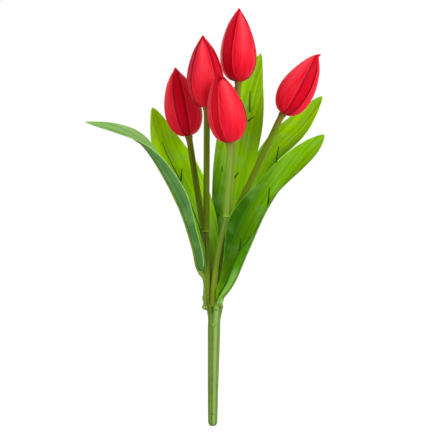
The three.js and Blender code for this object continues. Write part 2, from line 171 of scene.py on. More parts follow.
# Leaves
RING_HOLE_RADIUS = 1.5 * MM
RING_RADIUS = 2.2 * MM
RING_THICKNESS = 2 * MM
RIB_LOW_RADIUS = 1.1 * MM
RIB_HIGH_RADIUS = 0.5 * MM
RIB_SHARE = 0.8
BLADE_ROWS = 90
BLADE_COLUMNS = 49
BLADE_THICKNESS = 0.7 * MM
BLADE_SEAT = 0.25 * MM
LEAF_BASE_SHARE = 0.07
LEAF_TIP_POWER = 0.7
LEAF_TIP_WIDTH = 1 * MM
FOLD_ROUNDING = 0.05
PLEAT_PITCH = 4.2 * MM
PLEAT_DEPTH = 0.12 * MM
PLEAT_FADE = 8 * MM
RIDGE_RADIUS = 0.6 * MM
COLLAR_RADIUS = 1.8 * MM
BARB_PITCH = 40 * MM
BARB_RISE = 9 * MM
BARB_REACH = 5 * MM
BARB_RADIUS = 0.45 * MM
INNER_FACE_GLOSS = 0.05
OUTER_FACE_GLOSS = 0
OUTER_GREEN = (108, 158, 60)
SHADE_GREEN = (26, 86, 4)
PALE_GREEN = (120, 166, 70)
PALE_PATCH = (0.5, 0, 1, 0.21, 0.9)
SHORT_COLLAR = (3, 9, (112, 158, 56))

# Stage. A lamp has a name, a place, a size and a power.
FLOOR_REACH = 6
FLOOR_WHITE = 0.85
VEIL_WHITE = 0.3
VEIL_GLOW = 0.9
SKY_LIGHT = 0.38
LAMPS = [
    ("key", (0.9, -1.3, 1.1), 0.7, 20),
    ("side", (1.7, 0, 0.4), 0.8, 8),
    ("fill", (-1.5, -0.8, 0.5), 1.2, 9),
    ("back", (-0.4, 1.6, 1.3), 2.4, 16),
]
LAMP_AIM = (0, 0, 0.2)
CAMERA_PLACE = (0.00277, -2, 0.17625)
LENS_LENGTH = 198.6
SENSOR_WIDTH = 36

# Places are x and y in bud diameters from the middle of the handle's top, and millimetres above it. A stem
# has a colour, which is partly painted shade: the stems that lie in the shade of others are darker. It ends
# at its flower's base. The bud sits there, moved to the right by its shift, in millimetres. It leans along
# its lean, is turned about it by its turn, in degrees, and its girth and height are shares of the usual
# ones. Its outer petals have a half angle at the belly and one near the top, and end at a share of the
# height. Its tip hooks to the right by its hook, in millimetres. Its painted shading makes its reds lighter
# or darker: painted light and shade on the whole head.
FLOWERS = [
    {
        "name": "front", "base": (0.41, -1, 135), "shift": 2.4, "lean": (-0.19, -0.07, 1), "turn": 52,
        "girth": 1.12, "height": 0.972, "petals": (47, 42, 0.86), "hook": 0.3,
        "stem": (116, 150, 48), "painted_shading": 1,
    },
    {
        "name": "right", "base": (1.92, -0.03, 160), "shift": 0, "lean": (0.58, -0.04, 1), "turn": -6,
        "girth": 1.05, "height": 0.955, "petals": (40, 32, 0.92), "hook": 2.4,
        "stem": (98, 120, 14), "painted_shading": 1,
    },
    {
        "name": "back", "base": (0.68, 0.63, 188), "shift": 0, "lean": (0.01, 0.03, 1), "turn": -71,
        "girth": 1.09, "height": 1.02, "petals": (41, 28, 0.93), "hook": 0.2,
        "stem": (114, 138, 36), "painted_shading": 1.12,
    },
    {
        "name": "left", "base": (-0.72, 0.69, 142), "shift": 0, "lean": (-0.2, 0.05, 1), "turn": -38,
        "girth": 1.1, "height": 0.972, "petals": (41, 34, 0.9), "hook": 0.2,
        "stem": (86, 104, 6), "painted_shading": 0.96,
    },
    {
        "name": "centre", "base": (-0.21, -0.185, 165), "shift": 0, "lean": (-0.055, 0, 1), "turn": -96,
        "girth": 1.1, "height": 0.99, "petals": (39, 28, 0.92), "hook": 0.2,
        "stem": (96, 114, 12), "painted_shading": 1,
    },
]

# A leaf's blade starts after a bare stalk. Three rows of values are at equal steps from its lower end to
# its tip: the widths of the flattened blade, the folds, which are the rise of its halves for each
# millimetre across, and the turns, which are the degrees that its inner face looks away from the front. The
# tip is rounded from the share round_from on. The rib follows the path, whose places are as a flower's.
# The inner and the outer face have a colour each. The inner colours are partly painted light: the leaves
# that lie in the shade of others have lighter greens, and the arching leaf's pale inner green is a painted
# sheen. The inner face has a dark painted shade, and the outer one a patch with a colour of its own. Both
# have their middle at a share across and along the leaf, two reaches from there and a strength. Each rim is
# lighter or darker by its factor, over a share of the width: a lighter rim is a painted highlight on the
# edge, a darker one is painted shade.
# A collar lies round the rib between two distances along it, and has a colour. A tick is a dark stroke on
# the blade's inner face, a painted shadow where a barb behind the blade shows through, from a distance and
# a reach across to others, with a radius.
# A ridge is a dark bead on the inner face between two distances, at a step across from -1 to 1: on the low
# leaf a painted shadow along the free edge of the near half, and on the left leaf painted shade along the
# crease of the fold. Lengths are in millimetres.
LEAVES = [
    {
        "name": "arching", "stalk": 29, "widths": (15, 16, 24, 21, 13, 8), "round_from": 0.75,
        "folds": (0.8, 0.8, 0.8, 0.7, 0.45, 0.3), "turns": (109, 109, 107, 93, 45, 14),
        "path": (
            (-0.27, -0.28, 22), (-0.47, -0.34, 30), (-0.58, -0.36, 45), (-0.88, -0.42, 74),
            (-1.28, -0.47, 100), (-2.06, -0.6, 135), (-2.75, -0.72, 146), (-3.55, -0.83, 152),
        ),
        "inner": (138, 182, 98), "shade": (0, 0.1, 0.6, 0.4, 0.2),
        "outer": (98, 150, 78), "patch": (0.5, 0.12, 1, 0.4, 0.5), "patch_green": (54, 98, 40),
        "rim_light_and_shade": ((1.5, 0.016), (1.3, 0.016)), "collar": (22, 31, (116, 138, 34)), "ticks": (),
    },
    {
        "name": "left", "stalk": 10, "widths": (4, 22, 36, 41, 35, 28), "round_from": 0.7,
        "folds": (0.35, 0.5), "turns": (40, 30),
        "path": ((-0.33, 0.78, 51), (-0.86, 1.1, 96), (-1.45, 1.35, 133), (-1.78, 1.5, 167)),
        "inner": (168, 238, 0), "shade": (0.5, 0.1, 0.9, 0.6, 0.65),
        "outer": OUTER_GREEN, "patch": PALE_PATCH, "patch_green": PALE_GREEN,
        "rim_light_and_shade": ((1.4, 0.016), (1.4, 0.016)), "collar": SHORT_COLLAR,
        "ticks": ((112, 0, 122, 6.5, 0.75), (67, 0, 73, 5, 0.75)), "ridge": (55, 150, 0),
    },
    {
        "name": "tall", "stalk": 10, "widths": (4, 12, 28, 37, 36, 24), "round_from": 0.65,
        "folds": (0.18, 0.18), "turns": (0, 0),
        "path": ((0.06, 0.65, 21), (0.28, 1.3, 67), (0.55, 1.5, 117), (0.98, 1.62, 180), (1.34, 1.7, 214)),
        "inner": (141, 203, 6), "shade": (0, 0.2, 0.7, 0.45, 0.9),
        "outer": (104, 150, 60), "patch": PALE_PATCH, "patch_green": PALE_GREEN,
        "rim_light_and_shade": ((0.5, 0.03), (1.4, 0.016)), "collar": SHORT_COLLAR,
        "ticks": (
            (174, 5, 192, 1, 0.75), (166, 5, 171, 10, 0.75),
            (113, 1, 121, 5.5, 1.1), (119, -9, 124, -9.5, 0.5),
        ),
    },
    {
        "name": "right", "stalk": 10, "widths": (4, 16, 24, 21, 29, 27), "round_from": 0.7,
        "folds": (0.25, 0.25), "turns": (-34, -34),
        "path": (
            (0.36, 0.85, 24), (0.6, 1.45, 58), (1.06, 1.72, 96), (1.57, 1.8, 124), (2.5, 1.8, 153),
            (3.11, 1.74, 177),
        ),
        "inner": (152, 212, 0), "shade": (1, 0.7, 0.35, 0.2, 0.6),
        "outer": OUTER_GREEN, "patch": PALE_PATCH, "patch_green": PALE_GREEN,
        "rim_light_and_shade": ((1.4, 0.016), (1.5, 0.016)), "collar": SHORT_COLLAR, "ticks": ((144, 12, 157, 0.5, 0.8),),
    },
    {
        "name": "low", "stalk": 4, "widths": (15, 30, 50, 37, 27, 21), "round_from": 0.75,
        "folds": (1.7, 1.7, 1.1, 1.05, 0.6, 0.25), "turns": (-56, -56, -46, -46, -36, -10),
        "path": (
            (0.5, -0.28, 16), (0.94, -0.25, 45), (1.53, -0.3, 83), (2.43, -0.4, 121), (3.06, -0.4, 142),
        ),
        "inner": (128, 186, 0), "shade": (0, 0.38, 0.45, 0.4, 0.9),
        "outer": (70, 134, 4), "patch": PALE_PATCH, "patch_green": (128, 184, 76),
        "rim_light_and_shade": ((1.8, 0.012), (0.15, 0.06)), "collar": (2, 8, (112, 164, 60)),
        "ticks": ((95, 0, 108, -7.5, 0.75), (50, -6, 60, -9, 0.75)), "ridge": (8, 86, 1),
    },
]

HANDLE_TOP = Vector((HANDLE_SHIFT, 0, HANDLE_LENGTH))
joints = {joint["name"]: joint for joint in frame["joints"]}
dice = random.Random(7)


# Points and lines

def mix(low, high, share):
    return low + (high - low) * share


def clamp(value):
    return min(max(value, 0.0), 1.0)


def ease(value):
    value = clamp(value)
    return value * value * (3 - 2 * value)


def spread(count):
    """Steps from -1 to 1 that crowd at both ends."""
    return [math.sin(math.pi / 2 * (2 * step / (count - 1) - 1)) for step in range(count)]


def direction(degrees):
    angle = math.radians(degrees)
    return Vector((math.cos(angle), math.sin(angle), 0))


def place(x, y, z):
    return HANDLE_TOP + Vector((x * 2 * BUD_RADIUS, y * 2 * BUD_RADIUS, z * MM))


def pivot(joint):
    return Vector(joints[joint]["pos_m"])


def bezier(points, share):
    while len(points) > 1:
        points = [before.lerp(after, share) for before, after in zip(points, points[1:])]
    return points[0]


def catmull_rom(points, share):
    """A point on the centripetal spline through the points."""
    points = [points[0] * 2 - points[1], *points, points[-1] * 2 - points[-2]]
    spans = len(points) - 3
    index = min(int(share * spans), spans - 1)
    before, start, end, after = points[index:index + 4]
    step = share * spans - index
    pairs = (before, start), (start, end), (end, after)
    first, middle, last = [math.sqrt((there - here).length) for here, there in pairs]
    span = end - start
    leave = (start - before) * (middle / first) - (end - before) * (middle / (first + middle)) + span
    arrive = span - (after - start) * (middle / (middle + last)) + (after - end) * (middle / last)
    square = step * step
    cube = square * step
    return (start * (2 * cube - 3 * square + 1) + leave * (cube - 2 * square + step)
            + end * (3 * square - 2 * cube) + arrive * (cube - square))


class Path:
    """A smooth line that is walked by distance. Past its ends it goes on straight."""

    STEPS = 240

    def __init__(self, curve):
        self.points = [curve(step / self.STEPS) for step in range(self.STEPS + 1)]
        self.marks = [0.0]
        for before, after in zip(self.points, self.points[1:]):
            self.marks.append(self.marks[-1] + (after - before).length)
        self.length = self.marks[-1]

    def at(self, distance):
        index = bisect.bisect_right(self.marks, distance) - 1
        index = min(max(index, 0), self.STEPS - 1)
        before, after = self.points[index], self.points[index + 1]
        along = (after - before).normalized()
        return before + along * (distance - self.marks[index]), along


def straight(start, end):
    return Path(lambda share: start.lerp(end, share))


def cross_directions(along):
    """Two directions across a line. The second looks to the front, or up where the line itself does."""
    side = FRONT - along * along.dot(FRONT)
    if side.length < 0.2:
        side = UP - along * along.dot(UP)
    side.normalize()
    return along.cross(side), side


# Meshes

def add_object(name, data):
    """Puts a mesh, lamp or camera in the scene."""
    added = bpy.data.objects.new(name, data)
    bpy.context.scene.collection.objects.link(added)
    return added


class Shape:
    """Closed surfaces gathered for one piece. Each face corner keeps its size place, in metres across and
    along, and its share place, from 0 to 1."""

    def __init__(self):
        self.points = []
        self.faces = []
        self.looks = []
        self.sizes = []
        self.shares = []

    def add_face(self, corners, sizes, shares, look):
        self.faces.append(corners)
        self.looks.append(look)
        self.sizes.extend(sizes)
        self.shares.extend(shares)

    def turn(self, outline, path, sides=24, wave=None, look=0, step=4 * MM):
        """A round piece along a path, closed by its ends. The outline holds distances and radii."""
        rings = [outline[0]]
        for distance, radius in outline[1:]:
            before, width = rings[-1]
            cuts = max(1, math.ceil(abs(distance - before) / step))
            for cut in range(1, cuts + 1):
                rings.append((mix(before, distance, cut / cuts), mix(width, radius, cut / cuts)))
        first = len(self.points)
        for distance, radius in rings:
            point, along = path.at(distance)
            across, side = cross_directions(along)
            for index in range(sides):
                angle = 2 * math.pi * index / sides
                reach = radius + (wave(distance, radius, angle) if wave else 0)
                sideways = across * reach * math.cos(angle)
                forwards = side * reach * math.sin(angle)
                self.points.append(point + sideways + forwards)
        girth = 2 * math.pi * max(radius for _, radius in rings)
        for ring in range(len(rings) - 1):
            for index in range(sides):
                after = (index + 1) % sides
                low = first + ring * sides
                high = low + sides
                edges = [(index, ring), (index + 1, ring), (index + 1, ring + 1), (index, ring + 1)]
                self.add_face(
                    (low + index, low + after, high + after, high + index),
                    [(turn / sides * girth, rings[row][0]) for turn, row in edges],
                    [(turn / sides, rings[row][0] / path.length) for turn, row in edges],
                    look,
                )
        for row, flip in ((0, True), (len(rings) - 1, False)):
            point, _ = path.at(rings[row][0])
            self.points.append(point)
            hub = len(self.points) - 1
            for index in range(sides):
                pair = [first + row * sides + index, first + row * sides + (index + 1) % sides]
                if flip:
                    pair.reverse()
                self.add_face(
                    (*pair, hub),
                    [(0, rings[row][0])] * 3,
                    [(0.5, rings[row][0] / path.length)] * 3,
                    look,
                )

    def sheet(self, grid, back_look=0):
        """A thin piece. Each spot of its grid has a front point, a back point, a size place and a share
        place. Its rim looks like its front."""
        first = len(self.points)
        rows, columns = len(grid), len(grid[0])
        for layer in (0, 1):
            for row in grid:
                self.points.extend(spot[layer] for spot in row)

        def add(corners, look):
            spots = [grid[row][column] for _, row, column in corners]
            self.add_face(
                [first + (layer * rows + row) * columns + column for layer, row, column in corners],
                [size for _, _, size, _ in spots],
                [share for _, _, _, share in spots],
                look,
            )

        for row in range(rows - 1):
            for column in range(columns - 1):
                ring = [(row, column), (row, column + 1), (row + 1, column + 1), (row + 1, column)]
                add([(0, *corner) for corner in ring], 0)
                add([(1, *corner) for corner in reversed(ring)], back_look)
        edge = [(0, column) for column in range(columns - 1)]
        edge += [(row, columns - 1) for row in range(rows - 1)]
        edge += [(rows - 1, column) for column in range(columns - 1, 0, -1)]
        edge += [(row, 0) for row in range(rows - 1, 0, -1)]
        for here, there in zip(edge, edge[1:] + edge[:1]):
            add([(1, *here), (1, *there), (0, *there), (0, *here)], 0)

    def piece(self, name, looks, sharp_angle=180):
        mesh = bpy.data.meshes.new(name)
        mesh.from_pydata(self.points, [], self.faces)
        for title, places in (("Size", self.sizes), ("Share", self.shares)):
            layer = mesh.uv_layers.new(name=title)
            layer.uv.foreach_set("vector", [value for pair in places for value in pair])
        for look in looks:
            mesh.materials.append(look)
        mesh.polygons.foreach_set("material_index", self.looks)
        mesh.shade_smooth()
        mesh.set_sharp_from_angle(angle=math.radians(sharp_angle))
        return add_object(name, mesh)


# Materials

def srgb(red, green, blue):
    """A colour from its parts as a screen shows them, up to 255."""
    def linear(value):
        value /= 255
        return value / 12.92 if value <= 0.04045 else ((value + 0.055) / 1.055) ** 2.4
    return (linear(red), linear(green), linear(blue), 1)


def tone(colour, factor):
    """A colour made lighter or darker."""
    return (*[min(value * factor, 1) for value in colour[:3]], 1)


class Look:
    """A procedural material under construction."""

    def __init__(self, name):
        self.material = bpy.data.materials.new(name)
        self.material.use_nodes = True
        self.tree = self.material.node_tree
        self.shader = self.tree.nodes["Principled BSDF"]

    def node(self, kind, **inputs):
        node = self.tree.nodes.new(kind)
        for name, value in inputs.items():
            self.feed(node.inputs[name.replace("_", " ")], value)
        return node

    def feed(self, socket, value):
        if isinstance(value, bpy.types.NodeSocket):
            self.tree.links.new(value, socket)
        else:
            socket.default_value = value

    def set(self, name, value):
        """Gives the surface a value, the same all over or from a pattern."""
        self.feed(self.shader.inputs[name], value)

    def uv(self, title):
        node = self.node("ShaderNodeUVMap")
        node.uv_map = title
        return node.outputs["UV"]

    def noise(self, across, along, detail=3):
        """Noise in streaks of a size across and along the piece, in metres."""
        places = self.node("ShaderNodeMapping", Vector=self.uv("Size"), Scale=(1 / across, 1 / along, 1))
        noise = self.node("ShaderNodeTexNoise", Vector=places.outputs["Vector"], Scale=1, Detail=detail)
        return noise.outputs["Fac"]

    def grain(self, size, detail=3):
        """Noise of one size in every direction, in metres."""
        places = self.node("ShaderNodeTexCoord").outputs["Object"]
        noise = self.node("ShaderNodeTexNoise", Vector=places, Scale=1 / size, Detail=detail)
        return noise.outputs["Fac"]

    def ramp(self, value, low, high, start=0, end=1):
        """The value spread from one range to another, and kept inside it."""
        node = self.node("ShaderNodeMapRange", Value=value, From_Min=low, From_Max=high)
        self.feed(node.inputs["To Min"], start)
        self.feed(node.inputs["To Max"], end)
        return node.outputs["Result"]

    def math(self, operation, first, second=0.5):
        node = self.node("ShaderNodeMath")
        node.operation = operation
        self.feed(node.inputs[0], first)
        self.feed(node.inputs[1], second)
        return node.outputs["Value"]

    def blend(self, factor, low, high):
        node = self.node("ShaderNodeMix")
        node.data_type = "RGBA"
        self.feed(node.inputs["Factor"], factor)
        self.feed(node.inputs[6], low)
        self.feed(node.inputs[7], high)
        return node.outputs[2]

    def share(self, axis):
        """How far along (Y) or across (X) the piece a point is, from 0 to 1."""
        split = self.node("ShaderNodeSeparateXYZ", Vector=self.uv("Share"))
        return split.outputs[axis]

    def roughen(self, noise, low, high):
        """A roughness between two values, which follows a noise."""
        self.set("Roughness", self.ramp(noise, 0.3, 0.7, low, high))

    def bump(self, height, distance, strength=1):
        node = self.node("ShaderNodeBump", Height=height, Distance=distance, Strength=strength)
        self.set("Normal", node.outputs["Normal"])


def petal_look(name, painted_shading, reds, edge, crest_highlight):
    """Lengthwise streaks of three reds. The lightest is also painted along the petal's middle as a
    highlight, more towards the tip. A fourth red sets in between two shares of the width from the middle
    and goes on to the edge, but fades below the tip: a painted highlight on the outer petals' rims, and
    painted shade on the inner petals where they lie under the outer ones."""
    look = Look(name)
    # Painted light and shade on the whole head: its reds made lighter or darker.
    deep, main, light, edge_light_and_shade_red = [tone(srgb(*red), painted_shading) for red in reds]
    streaks = look.noise(0.6 * MM, 16 * MM)
    bands = look.noise(3 * MM, 45 * MM)
    mottle = look.grain(1.1 * MM)
    colour = look.blend(look.ramp(bands, 0.3, 0.7), deep, main)
    colour = look.blend(look.ramp(streaks, 0.4, 0.75, 0, 0.3), colour, light)
    reach = look.math("ABSOLUTE", look.math("SUBTRACT", look.share("X"), 0.5))
    # Painted highlight: the lightest red along the petal's middle, stronger towards the tip.
    crest_highlight_mask = look.ramp(look.share("Y"), 0.2, 0.8, 0, crest_highlight)
    colour = look.blend(look.math("MULTIPLY", look.ramp(reach, 0.4, 0), crest_highlight_mask), colour, light)
    # Painted highlight on the outer petals' rims, and painted shade on the inner petals where they lie
    # under the outer ones.
    below_tip = look.ramp(look.share("Y"), 0.95, 0.84)
    edge_light_and_shade_mask = look.math("MULTIPLY", look.ramp(reach, *edge, 0, 0.7), below_tip)
    look.set("Base Color", look.blend(edge_light_and_shade_mask, colour, edge_light_and_shade_red))
    height = look.math("ADD", streaks, look.math("MULTIPLY", mottle, 0.5))
    look.bump(height, 0.3 * MM, 0.5)
    look.roughen(mottle, 0.3, 0.4)
    look.set("Specular IOR Level", 0.03)
    look.set("Sheen Weight", 0.32)
    look.set("Sheen Roughness", 0.4)
    look.set("Sheen Tint", (1, 0.2, 0.25, 1))
    return look.material


def leaf_look(name, gloss, green, rim_light_and_shade, patch, patch_green):
    """Lengthwise veins and bands, dark clouds, a patch, a pale painted glare and two rims, each a painted
    highlight where it is lighter and painted shade where it is darker.
    """
    look = Look(name)
    look.set("Specular IOR Level", gloss)
    main = srgb(*green)
    veins = look.noise(0.9 * MM, 70 * MM, 2)
    bands = look.noise(2.4 * MM, 120 * MM)
    clouds = look.grain(16 * MM)
    glare = look.grain(13 * MM, 1)
    colour = look.blend(look.ramp(bands, 0.3, 0.7), tone(main, 0.74), tone(main, 1.26))
    colour = look.blend(look.ramp(veins, 0.42, 0.66, 0, 0.45), colour, tone(main, 0.5))
    colour = look.blend(look.ramp(clouds, 0.5, 0.8, 0, 0.2), colour, tone(main, 0.4))
    # A patch of another green: painted shade on the inner face, a colour of the leaf's own on the outer
    # face.
    x, y, across, along, strength = patch
    offset_x = look.math("DIVIDE", look.math("SUBTRACT", look.share("X"), x), across)
    offset_y = look.math("DIVIDE", look.math("SUBTRACT", look.share("Y"), y), along)
    away = look.math("ADD", look.math("POWER", offset_x, 2.0), look.math("POWER", offset_y, 2.0))
    colour = look.blend(look.ramp(away, 1, 0.1, 0, strength), colour, srgb(*patch_green))
    # Painted sheen: pale bluish-green glare patches on the face.
    colour = look.blend(look.ramp(glare, 0.5, 0.75, 0, 0.34), colour, srgb(132, 186, 92))
    # Painted highlight along an edge where the factor is above 1, painted shade where it is below.
    for side, (factor, width) in enumerate(rim_light_and_shade):
        edge = look.ramp(look.share("X"), abs(side - width), abs(side - width / 4), 0, 0.6)
        colour = look.blend(edge, colour, tone(main, factor))
    look.set("Base Color", colour)
    look.roughen(clouds, 0.28, 0.4)
    look.bump(look.math("ADD", veins, bands), 0.3 * MM, 0.5)
    return look.material


def stem_look(name, green):
    """Lengthwise streaks, a pale lip at the lower end and a brown neck under the bud."""
    look = Look(name)
    look.set("Specular IOR Level", 0.06)
    main = srgb(*green)
    neck = srgb(130, 98, 40)
    streaks = look.noise(0.7 * MM, 40 * MM)
    specks = look.grain(1.6 * MM)
    colour = look.blend(look.ramp(streaks, 0.35, 0.7), tone(main, 0.9), tone(main, 1.25))
    colour = look.blend(look.ramp(specks, 0.55, 0.8, 0, 0.25), colour, neck)
    colour = look.blend(look.ramp(look.share("Y"), 0.82, 1, 0, 0.7), colour, neck)
    colour = look.blend(look.ramp(look.share("Y"), 0.014, 0.006), colour, tone(main, 2.1))
    look.set("Base Color", colour)
    look.roughen(specks, 0.34, 0.48)
    look.bump(look.math("ADD", streaks, specks), 0.15 * MM, 0.4)
    return look.material


def branch_look(name, green):
    """Lengthwise streaks, and a yellower root."""
    look = Look(name)
    look.set("Specular IOR Level", 0.12)
    main = srgb(*green)
    root = srgb(126, 150, 26)
    streaks = look.noise(0.9 * MM, 30 * MM)
    specks = look.grain(2 * MM)
    low = look.ramp(look.share("Y"), 0.85, 0.3)
    pale = look.blend(low, tone(main, 0.95), tone(root, 1.1))
    deep = look.blend(low, tone(main, 0.6), tone(root, 0.7))
    look.set("Base Color", look.blend(look.ramp(streaks, 0.35, 0.7), deep, pale))
    look.roughen(specks, 0.32, 0.46)
    look.bump(look.math("ADD", streaks, specks), 0.15 * MM, 0.4)
    return look.material


def moulded_look(name, main, light, dark, painted_highlight=0, gloss=0.24):
    """Fine lengthwise streaks and clouds. A round piece can have paler bands along it, at a fixed place
    around it: a painted highlight."""
    look = Look(name)
    look.set("Specular IOR Level", gloss)
    streaks = look.noise(0.9 * MM, 60 * MM)
    clouds = look.grain(6 * MM)
    colour = look.blend(look.ramp(streaks, 0.35, 0.7), main, light)
    colour = look.blend(look.ramp(clouds, 0.5, 0.75, 0, 0.5), colour, dark)
    # Painted highlight: paler bands at a fixed place around the piece.
    if painted_highlight:
        around = look.math("SUBTRACT", look.share("X"), HIGHLIGHT_PLACE)
        wave = look.math("COSINE", look.math("MULTIPLY", around, 2 * math.pi * HIGHLIGHT_BANDS))
        colour = look.blend(look.ramp(wave, 0.45, 1, 0, painted_highlight), colour, srgb(*HIGHLIGHT_GREEN))
    look.set("Base Color", colour)
    look.roughen(clouds, 0.28, 0.44)
    look.bump(streaks, 0.15 * MM, 0.12)
    return look.material


def steel_look():
    look = Look("drawn_steel")
    scratches = look.grain(0.4 * MM)
    look.set("Metallic", 1)
    look.set("Base Color", look.blend(scratches, srgb(140, 140, 138), srgb(190, 190, 186)))
    look.roughen(scratches, 0.28, 0.42)
    return look.material


def foam_look():
    look = Look("white_foam")
    cells = look.grain(0.8 * MM)
    look.set("Base Color", look.blend(cells, srgb(205, 202, 192), srgb(240, 238, 230)))
    look.set("Roughness", 0.9)
    look.bump(cells, 0.4 * MM, 0.6)
    return look.material


handle_green = moulded_look(
    "handle_green", srgb(80, 112, 10), srgb(118, 152, 36), srgb(66, 94, 8), painted_highlight=HIGHLIGHT_STRENGTH,
)
peg_green = moulded_look("peg_green", srgb(134, 164, 36), srgb(164, 188, 66), srgb(112, 142, 28))
knot_green = moulded_look("knot_green", srgb(120, 150, 54), srgb(140, 168, 76), srgb(104, 134, 42))
pin_blue = moulded_look("pin_blue", srgb(70, 110, 96), srgb(84, 122, 110), srgb(50, 84, 70))
rib_green = moulded_look("rib_green", srgb(96, 126, 24), srgb(122, 150, 44), srgb(72, 98, 18))
# A dark green for the ticks and beads on the leaves, which are painted shadows.
tick_green = moulded_look("tick_green", srgb(42, 84, 8), srgb(54, 102, 12), srgb(32, 66, 8), gloss=0.03)
foam = foam_look()


def settle(piece, body, slot, *nodes):
    """Ties a piece to its body and hides the nodes that it stands for. Its slot is not used."""
    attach(piece, body)
    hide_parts(*nodes)


# Handle

handle_path = Path(lambda share: bezier(
    [Vector(), UP * HANDLE_LENGTH / 3, HANDLE_TOP - UP * HANDLE_LENGTH / 3, HANDLE_TOP], share,
))


def handle_wave(distance, radius, angle):
    """Fine flutes all along, and a lobe for each branch towards the top."""
    fade = ease((distance - FOOT_ROUNDING) / FLUTE_FADE) * min(radius / HANDLE_LOW_RADIUS, 1)
    flutes = FLUTE_DEPTH * math.sin(FLUTES * angle) * fade
    phase = math.cos(len(FLOWERS) / 2 * (angle - math.radians(90 + FORK_START)))
    lobes = LOBE_DEPTH * (abs(phase) - 1) * ease((distance - LOBE_START) / (HANDLE_LENGTH - LOBE_START))
    return flutes + lobes * min(radius / HANDLE_HIGH_RADIUS, 1)


def handle_outline():
    """Distances and radii from the rounded foot to the flared rim."""
    length = handle_path.length
    outline = []
    for degrees in range(0, 91, 15):
        angle = math.radians(degrees)
        radius = mix(FOOT_RADIUS, HANDLE_LOW_RADIUS, math.sin(angle))
        outline.append((FOOT_ROUNDING * (1 - math.cos(angle)), radius))
    for step in range(FLARE_STEPS + 1):
        share = step / FLARE_STEPS
        radius = mix(HANDLE_HIGH_RADIUS, HANDLE_RIM_RADIUS, ease(share))
        outline.append((length - HANDLE_FLARE * (1 - share), radius))
    outline.append((length + 0.5 * MM, HANDLE_RIM_RADIUS - 0.5 * MM))
    outline.append((length + 0.8 * MM, HANDLE_RIM_RADIUS - 1.5 * MM))
    return outline


def add_knot(shape):
    """A round dome on the front."""
    middle = handle_path.at(KNOT_HEIGHT)[0]
    dome = [
        (HANDLE_HIGH_RADIUS - 1 * MM, KNOT_RADIUS),
        (HANDLE_HIGH_RADIUS + KNOT_RISE * 0.5, KNOT_RADIUS),
        (HANDLE_HIGH_RADIUS + KNOT_RISE * 0.85, KNOT_RADIUS * 0.85),
        (HANDLE_HIGH_RADIUS + KNOT_RISE, KNOT_RADIUS * 0.5),
    ]
    shape.turn(dome, straight(middle, middle + FRONT * HANDLE_RIM_RADIUS), 28, look=3)


def add_pin(shape):
    """A small mark on the front, near the foot."""
    middle = handle_path.at(PIN_HEIGHT)[0]
    stub = [
        (HANDLE_LOW_RADIUS - 1 * MM, PIN_RADIUS),
        (HANDLE_LOW_RADIUS + 0.2 * MM, PIN_RADIUS),
        (HANDLE_LOW_RADIUS + 0.3 * MM, PIN_RADIUS * 0.7),
    ]
    shape.turn(stub, straight(middle, middle + FRONT * HANDLE_RIM_RADIUS), 16, look=2)


def peg_line(leaf):
    """From the middle of the leaf's ring outwards to the end of its peg."""
    middle = pivot(leaf["name"] + "_swivel")
    outwards = middle - HANDLE_TOP
    outwards.z = 0
    return straight(middle, middle + outwards.normalized() * PEG_REACH)


def add_peg(shape, leaf):
    peg = [
        (-PEG_ROOT, PEG_RADIUS),
        (PEG_REACH - 0.7 * MM, PEG_RADIUS),
        (PEG_REACH - 0.2 * MM, PEG_RADIUS * 0.8),
        (PEG_REACH, PEG_RADIUS * 0.4),
    ]
    shape.turn(peg, peg_line(leaf), 18, look=1)


def make_handle():
    shape = Shape()
    shape.turn(handle_outline(), handle_path, 80, handle_wave)
    add_knot(shape)
    add_pin(shape)
    for leaf in LEAVES:
        add_peg(shape, leaf)
    looks = [handle_green, peg_green, pin_blue, knot_green]
    piece = shape.piece("moulded_handle", looks, SHARP_ANGLE)
    settle(piece, "handle", "handle_plastic", "handle")


# Branches and stems

def flower_lines(flower):
    fork = pivot(flower["name"] + "_bend")
    joint = pivot(flower["name"] + "_turn")
    base = place(*flower["base"])
    lean = Vector(flower["lean"]).normalized()
    bend = base - lean * NECK_LENGTH / 2
    rise = (bend - joint).normalized()
    neck = bend - rise * NECK_LENGTH / 2
    reach = (joint - fork).length
    pulls = [fork, fork + UP * reach * BRANCH_LOW_PULL, joint - rise * reach * BRANCH_HIGH_PULL, joint]
    branch = Path(lambda share: bezier(pulls, share))
    turn_share = (neck - joint).length / ((neck - joint).length + NECK_LENGTH)

    def stem_point(share):
        if share < turn_share:
            return joint.lerp(neck, share / turn_share)
        return bezier([neck, bend, base], (share - turn_share) / (1 - turn_share))

    return branch, Path(stem_point), base, lean


def make_branch(name, path, green):
    shape = Shape()
    end = path.length
    shape.turn([
        (-BRANCH_ROOT, ROOT_RADIUS),
        (ROOT_LENGTH / 3, ROOT_RADIUS),
        (ROOT_LENGTH, BRANCH_RADIUS),
        (end - LIP_GAP - BEVEL, BRANCH_RADIUS),
        (end - LIP_GAP, BRANCH_RADIUS - BEVEL),
        (end - LIP_GAP, SPIGOT_RADIUS),
        (end + SPIGOT_LENGTH, SPIGOT_RADIUS),
    ], path, 24, step=2 * MM)
    piece = shape.piece(name + "_smooth_branch", [branch_look(name + "_branch_green", green)], SHARP_ANGLE)
    fork = path.at(0)[0]
    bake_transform(piece)
    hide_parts(name + "_branch")


